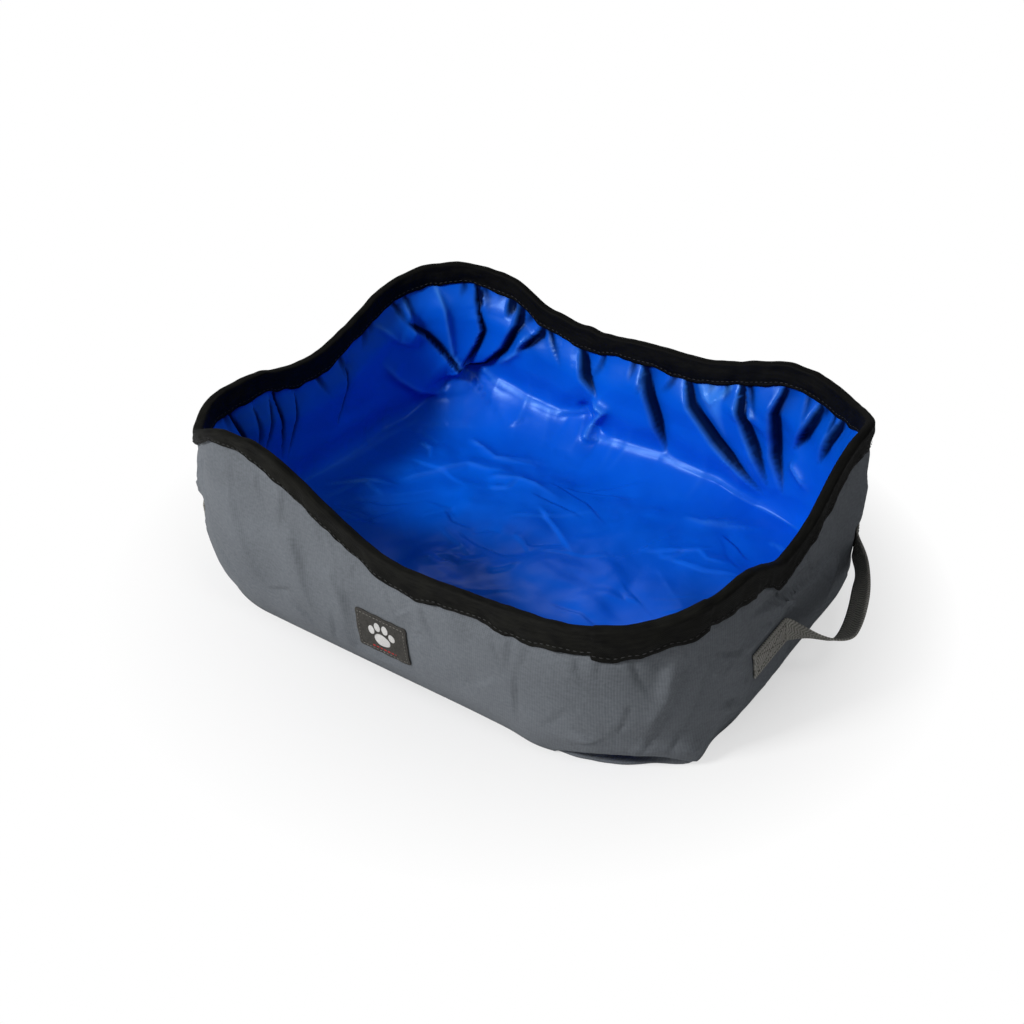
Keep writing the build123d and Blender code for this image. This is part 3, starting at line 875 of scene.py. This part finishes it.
def rimRows():
    side = 1 - binding["crestShare"]
    v = 0.5 - (binding["crestShare"] + side * binding["seam"]) / 2
    u = np.linspace(0, 1, 900)
    for row, inward in ((v, 1), (1 - v, -1)):
        places, uvs = bindingShape(u, np.full(len(u), row))
        out = outline(u * rimRound, 0.1, 0)[1] * inward
        yield places + out * binding["threadLift"] * mm, out


rimThread = stitchPiece("rimStitches", rimRows(), binding["stitch"])
print("binding made")

basePanel = {"inset": 3.0, "columns": 420, "rows": 22, "lift": 0.5, "turnedUp": 7, "turnShare": 0.3, "thick": 0.5,
             "drawnIn": 8, "ragged": 2.5, "foot": 4}


# the floor cloth, with its edge turned up inside the wall
def baseShape(u, v):
    s = u * rimRound
    upright = np.clip(1 - v / basePanel["turnShare"], 0, 1)
    share = 1 - np.clip((v - basePanel["turnShare"]) / (1 - basePanel["turnShare"]), 0, 1)
    showing = np.sin(puckerShare(s) * pi)
    uneven = basePanel["ragged"] * rimNoise(s, 12, 2.0, upright)
    ragged = (basePanel["drawnIn"] * upright - basePanel["inset"] + uneven) * showing
    height = basePanel["lift"] + upright * basePanel["turnedUp"] * (1 - 0.7 * showing)
    inset = (basePanel["inset"] + ragged - 0.8 * upright) * mm - hemReach(s)
    points = outline(s, np.maximum(height, basePanel["foot"]) * mm, inset)[0]
    points[:, :2] *= share[:, None]
    points[:, 2] = height * mm
    return points, np.stack([points[:, 0], points[:, 1]], -1)


basePiece = sheetGrid("basePanel", basePanel, baseShape, 1, centre=True)

patch = {"middle": 3, "height": 42, "width": 46, "tall": 34, "columns": 46, "rows": 34, "proud": 1.1,
         "thick": 0.8, "border": 2.4, "stitch": (3.0, 2.1, 0.55), "threadLift": 0.15, "rounded": 3}


def onPatch(x, y, proud):
    points, out = wallSurface(patch["middle"] + x, (patch["height"] + y) * mm)
    return points + out * (np.asarray(proud)[..., None] * mm), out


def patchShape(u, v):
    x, y = (u - 0.5) * patch["width"], (0.5 - v) * patch["tall"]
    corner = sum(np.maximum(np.abs(off) - patch[side] / 2 + patch["rounded"], 0)
                 for off, side in ((x, "width"), (y, "tall")))
    shrink = 1 - 0.03 * smoothstep((corner - 4) / 2)
    curl = 0.25 * np.sin(x * 0.5) * np.cos(y * 0.4)
    return onPatch(x * shrink, y * shrink, patch["proud"] + curl)[0], np.stack([x * mm, y * mm], -1)


patchPiece = sheetGrid("labelPatch", patch, patchShape, closed=False)


def boxPath(halfLong, halfTall):
    corners = np.array([(-1, -1), (1, -1), (1, 1), (-1, 1), (-1, -1)]) * (halfLong, halfTall)
    return np.concatenate([np.linspace(a, b, 14)[:-1] for a, b in zip(corners, corners[1:])] + [corners[-1:]])


border = boxPath(patch["width"] / 2 - patch["border"], patch["tall"] / 2 - patch["border"]).T
patchThread = stitchPiece("patchStitches", [onPatch(*border, patch["proud"] + patch["threadLift"])],
                          patch["stitch"])
print("patch made")

handle = {
    "width": 20, "thick": 1.4, "height": 49, "rows": 8, "along": 230, "proud": 1.3,
    "sewn": ((277, 331), (457, 511)),
    # the free run of the right handle, and how far the webbing leans out there, in degrees
    "loop": ((233, -19, 46, 25), (243, -11, 42, 50), (252, -3, 38, 55), (258, 5, 36, 54), (258, 16, 36.5, 47),
             (256, 30, 39, 42), (252, 46, 43, 37), (246, 62, 45.5, 29), (239, 80, 47, 12)),
    "split": 0.52, "stitch": (3.4, 2.4, 0.6), "threadLift": 0.1,      # a stitch's step, length and thickness
    "hingeX": 0.237, "nearBend": (-24, -5), "farBend": (103, 85),      # where each end bends off the wall
}


# an evenly stepped smooth line through the points, as a NURBS spline gives it
def softLine(points, count):
    curve = bpy.data.curves.new("line", "CURVE")
    curve.dimensions = "3D"
    curve.resolution_u = 16
    spline = curve.splines.new("NURBS")
    spline.points.add(len(points) - 1)
    for place, point in zip(spline.points, points):
        place.co = (*point, 1)
    spline.order_u = 3
    spline.use_endpoint_u = True
    holder = bpy.data.objects.new("line", curve)
    mesh = bpy.data.meshes.new_from_object(holder)
    line = np.array([v.co for v in mesh.vertices])
    bpy.data.objects.remove(holder)
    bpy.data.curves.remove(curve)
    bpy.data.meshes.remove(mesh)
    gaps = lengthsAlong(line)
    return between(np.linspace(0, gaps[-1], count), gaps, line)


# one lengthwise thread of the strap, `across` millimetres above its middle
def strapThread(across, turned):
    ends = []
    for start, end in handle["sewn"]:
        s = np.linspace(start, end, 9) + (rimRound / 2 if turned else 0)
        points, out = wallSurface(s, (handle["height"] + across) * mm)
        ends.append(points + out * handle["proud"] * mm)
    loop = np.array([place[:3] for place in handle["loop"]], float) * mm
    run = np.gradient(loop, axis=0)
    run /= sizes(run)[:, None]
    up = np.array([0, 0, 1.0]) - run * run[:, 2:3]
    up /= sizes(up)[:, None]
    lean = np.radians([place[3] for place in handle["loop"]])[:, None]
    loop = loop + (up * np.cos(lean) + np.cross(run, up) * np.sin(lean)) * across * mm
    if turned:
        loop[:, :2] *= -1
    return softLine([*ends[0], *loop, *ends[1]], handle["along"] + 1)


def strapShape(threads, first, last):
    def shape(u, v):
        row = np.rint(v * handle["rows"]).astype(int)
        column = np.rint((first + (last - first) * u) * handle["along"]).astype(int)
        length = lengthsAlong(threads[len(threads) // 2])[-1]
        return threads[row, column], np.stack([(first + (last - first) * u) * length, v * handle["width"] * mm], -1)
    return shape


def strapRows(turned):
    proud = handle["proud"] + handle["thick"] / 2 + handle["threadLift"]
    for start, end in handle["sewn"]:
        halfLong, halfTall = (end - start) / 2 - 4, handle["width"] / 2 - 3
        cross = [np.linspace((-halfLong, -tall), (halfLong, tall), 30) for tall in (halfTall, -halfTall)]
        for x, y in (path.T for path in (boxPath(halfLong, halfTall), *cross)):
            s = (start + end) / 2 + x + (rimRound / 2 if turned else 0)
            points, out = wallSurface(s, (handle["height"] + y) * mm)
            yield points + out * proud * mm, out


straps, strapThreads = [], []
for side, turned in (("right", False), ("left", True)):
    sign = -1 if turned else 1
    half = handle["width"] / 2
    threads = np.array([strapThread(across, turned) for across in np.linspace(half, -half, handle["rows"] + 1)])
    for end, first, last, (start, finish) in (("Near", 0, handle["split"], handle["nearBend"]),
                                              ("Far", handle["split"], 1, handle["farBend"])):
        form = {**handle, "columns": round((last - first) * handle["along"])}
        shape = strapShape(threads, round(first * handle["along"]) / handle["along"], last)
        strap = sheetGrid(f"{side}Strap{end}", form, shape, 0, closed=False)
        bend = [(sign * handle["hingeX"], sign * at * mm, handle["height"] * mm) for at in (start, finish)]
        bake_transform(strap, "tub", f"{side}_handle", start=bend[0], end=bend[1])
        straps.append(strap)
    strapThreads.append(stitchPiece(f"{side}BoxStitches", strapRows(turned), handle["stitch"]))
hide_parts("right_handle_front_end", "right_handle_loop")
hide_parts("right_handle_back_end")
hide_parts("left_handle_back_end", "left_handle_loop")
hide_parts("left_handle_front_end")
print("handles made")

cloth = Finish("oxfordCloth", 0.25, Roughness=0.78)
across, upright = cloth.uvParts()
ribs, picks = cloth.wave(across, 1.7 * mm), cloth.wave(upright, 1.1 * mm)
slubs = cloth.noise(1, 3, cloth.stretched(320, 520, 1))
faded = cloth.noise(14, 4)
greyMix = ribs * 0.1 + picks * 0.07 + slubs * 0.45 + faded * 0.5
grey = cloth.ramp(greyMix, (0.3, (0.080, 0.088, 0.099)), (0.85, (0.156, 0.170, 0.188)))
clothFinish = cloth.feed(Base_Color=grey, Roughness=0.9 - slubs * 0.2,
                         Normal=cloth.bump(ribs * 0.5 + picks * 0.4 + slubs * 0.5, 0.3, 0.0004))

pvc = Finish("linerSheet", 0.38, Specular_Tint=(0.36, 0.62, 1, 1))
cloudy = pvc.noise(11, 3)
blue = pvc.ramp(cloudy, (0.3, (0.0, 0.086, 0.60)), (0.7, (0.0, 0.112, 0.72)))
# painted highlight: whitish blue along the raised fold edges
paintedHighlight = pvc.clamped(pvc.kept("pale") * (0.35 + cloudy * 0.5))
# painted shade: the slits are darkened to deep navy
sunk = pvc.clamped(pvc.kept("slit"))
blueWithPaintedLight = pvc.mix(paintedHighlight, pvc.mix(sunk, blue, (0, 0.002, 0.03, 1)), (0.05, 0.26, 0.86, 1))
grain = pvc.noise(900, 2)
rubbed, dimples = pvc.noise(30, 4), pvc.noise(55, 4)
pvcFinish = pvc.feed(Base_Color=blueWithPaintedLight, Roughness=rubbed * 0.2 + sunk * 0.06 + 0.26,
                     Normal=pvc.bump(grain, 0.06, 0.0003, pvc.bump(dimples, 0.2, 0.002)))

# painted shade: a dark shader without reflection takes over along the slits
unlit = pvc.node("BsdfPrincipled", {},
                 {"Base Color": (0, 0.003, 0.034, 1), "Roughness": 1.0, "Specular IOR Level": 0.0})
pvc.crossOver(pvc.clamped(sunk * 0.9), unlit)

tape = Finish("bindingTape", 0.09)
along, over = tape.uvParts()
twill = tape.wave(along + over, 1.3 * mm) * 0.6 + tape.wave(over, 0.9 * mm) * 0.4
streaks = tape.noise(1, 4, tape.stretched(90, 600, 1))
rubbed = tape.noise(70, 4)
# painted light: the tape is lighter towards the front and darker towards the back
paintedFrontLight = tape.clamped(0.45 - tape.part(tape.place(), "Y") * 4)
black, paintedLitTape = (tape.ramp(streaks * 0.5 + rubbed * 0.5, (0.35, (0.001, 0.001, 0.001)), (0.75, top))
                for top in ((0.006, 0.006, 0.005), (0.012, 0.012, 0.0095)))
tapeFinish = tape.feed(Base_Color=tape.mix(paintedFrontLight, black, paintedLitTape), Roughness=0.55 + rubbed * 0.3,
                       Normal=tape.bump(twill, 0.4, 0.0003, tape.bump(streaks, 0.3, 0.0006)))

web = Finish("webbing", 0.3, Roughness=0.8)
along, over = web.uvParts()
zigzag = (over / (5 * mm)).maths("PINGPONG", 1.0) * (2.2 * mm)
weave = web.wave(along + zigzag, 2.2 * mm) * 0.6 + web.wave(over, 1.25 * mm) * 0.4
flecks = web.noise(700, 3)
taupe = web.ramp(weave * 0.6 + flecks * 0.4, (0.25, (0.13, 0.125, 0.112)), (0.8, (0.42, 0.41, 0.37)))
webFinish = web.feed(Base_Color=taupe, Normal=web.bump(weave + flecks * 0.3, 0.7, 0.0005))

badge = Finish("patchCloth", 0.2, Roughness=0.85)
x, y = badge.uvParts()
# an embroidered paw: middle and half size of its pad and toes
paw = ((0, -3.6, 7.4, 5.6), (-9.2, 2.6, 2.9, 3.8), (-3.4, 7.2, 2.9, 4.0), (3.4, 7.2, 2.9, 4.0), (9.2, 2.6, 2.9, 3.8))
stitched = None
for middleX, middleY, halfX, halfY in paw:
    offX, offY = (x - middleX * mm) / (halfX * mm), (y - middleY * mm) / (halfY * mm)
    oval = badge.clamped((1 - (offX * offX + offY * offY)) * 6)
    stitched = oval if stitched is None else stitched.maths("MAXIMUM", oval)
threads = badge.wave(x + y * 0.5, 0.8 * mm)
flecks = badge.noise(600, 3)
dark = badge.ramp(flecks * 0.6 + badge.wave(x, 1.0 * mm) * 0.2 + badge.wave(y, 1.0 * mm) * 0.2,
                  (0.3, (0.022, 0.021, 0.019)), (0.75, (0.062, 0.058, 0.052)))
offWhite = badge.ramp(threads * 0.6 + flecks * 0.4, (0.2, (0.42, 0.41, 0.40)), (0.8, (0.72, 0.71, 0.69)))
# a short run of red stitches under it
underline = badge.clamped((1 - ((y + 12.2 * mm) / (0.7 * mm)).maths("ABSOLUTE")) * 4)
underline = underline * badge.clamped((1 - (x / (11 * mm)).maths("ABSOLUTE")) * 30)
underline = underline * badge.clamped(badge.wave(x, 3.4 * mm) * 8 - 2)
marked = badge.mix(underline, badge.mix(stitched, dark, offWhite), (0.38, 0.02, 0.02, 1))
relief = stitched * (0.7 + threads * 0.3) + flecks * 0.2
badgeFinish = badge.feed(Base_Color=marked, Normal=badge.bump(relief, 0.8, 0.0006))

sewing = {}
for name, shade in (("tapeThread", (0.02, 0.02, 0.02)), ("patchThread", (0.10, 0.095, 0.085)),
                    ("webThread", (0.055, 0.052, 0.047))):
    thread = Finish(name, 0.3)
    lay = thread.noise(1400, 2)
    pale = tuple(min(c * 2.2, 1) for c in shade)
    sewing[name] = thread.feed(Base_Color=thread.ramp(lay, (0.3, shade), (0.7, pale)), Roughness=0.6 + lay * 0.3,
                               Normal=thread.bump(lay, 0.4, 0.0002))

steel = Finish("springWire", Metallic=1.0)
scuffs = steel.noise(400, 3)
steelFinish = steel.feed(Base_Color=steel.ramp(scuffs, (0.3, (0.42, 0.42, 0.43)), (0.7, (0.6, 0.6, 0.6))),
                         Roughness=scuffs * 0.3 + 0.2)
wearFinish(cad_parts["hoop_sleeve"], steelFinish)
for piece, finish, slotName, node in (
        (wallPiece, clothFinish, "oxford_cloth", "outer_wall"), (basePiece, clothFinish, "oxford_cloth", "outer_base"),
        (linerPiece, pvcFinish, "pvc_liner", "liner"), (bindingPiece, tapeFinish, "binding_tape", "rim_binding"),
        (patchPiece, badgeFinish, "patch_cloth", "label_patch"), (hoopPiece, steelFinish, None, "rim_hoop"),
        (rimThread, sewing["tapeThread"], "binding_tape", None),
        (patchThread, sewing["patchThread"], "patch_cloth", None),
        (strapThreads[0], sewing["webThread"], "webbing", None),
        (strapThreads[1], sewing["webThread"], "webbing", None)):
    wearFinish(piece, finish, slotName)
    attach(piece, "tub")
    if node:
        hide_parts(node)
for strap in straps:
    wearFinish(strap, webFinish, "webbing")

for strap, length in zip(straps, (0.145, 0.135, 0.145, 0.135)):
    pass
print("finishes on")

floorMesh = bmesh.new()
bmesh.ops.create_grid(floorMesh, x_segments=1, y_segments=1, size=6)
floorPiece = addPiece("studioFloor", floorMesh)
floorPiece.location.z = -0.0002
paper = Finish("paper", 0.1, Roughness=0.9, Base_Color=(0.85, 0.85, 0.85, 1))
away = paper.node("VectorMath", {"operation": "LENGTH"}, {0: paper.place()}, "Value")
seen = paper.node("LightPath", {}, {}, "Is Camera Ray")
glow = paper.node("Emission", {}, {"Color": (1, 1, 1, 1), "Strength": 1.0})
paper.crossOver(seen * paper.clamped((away - 0.28) / 0.25 + 0.8), glow)      # shaded near the tub, white beyond
wearFinish(floorPiece, paper.owner)

studio = {
    "fill": 0.12, "sky": (0.92, 0.95, 1.0, 1),
    # name, place, size, power
    "lights": (("key", (-0.75, -1.5, 1.3), 0.4, 41), ("back", (-0.9, 1.5, 0.95), 0.8, 3),
               ("top", (1.1, -0.4, 1.8), 0.5, 5)),
}


def makeStudio(s):
    scene.world = bpy.data.worlds.new("studio")
    sky = NodeTree(scene.world, "Background", "World Output", Color=s["sky"], Strength=s["fill"])
    white = sky.node("Background", {}, {"Color": (1, 1, 1, 1)})
    sky.crossOver(sky.node("LightPath", {}, {}, "Is Camera Ray"), white)
    for name, place, size, power in s["lights"]:
        light = bpy.data.lights.new(name, "AREA")
        light.size, light.energy = size, power
        turnedTo(bpy.data.objects.new(name, light), place, (0, 0, 0.05))


makeStudio(studio)
print("studio ready")
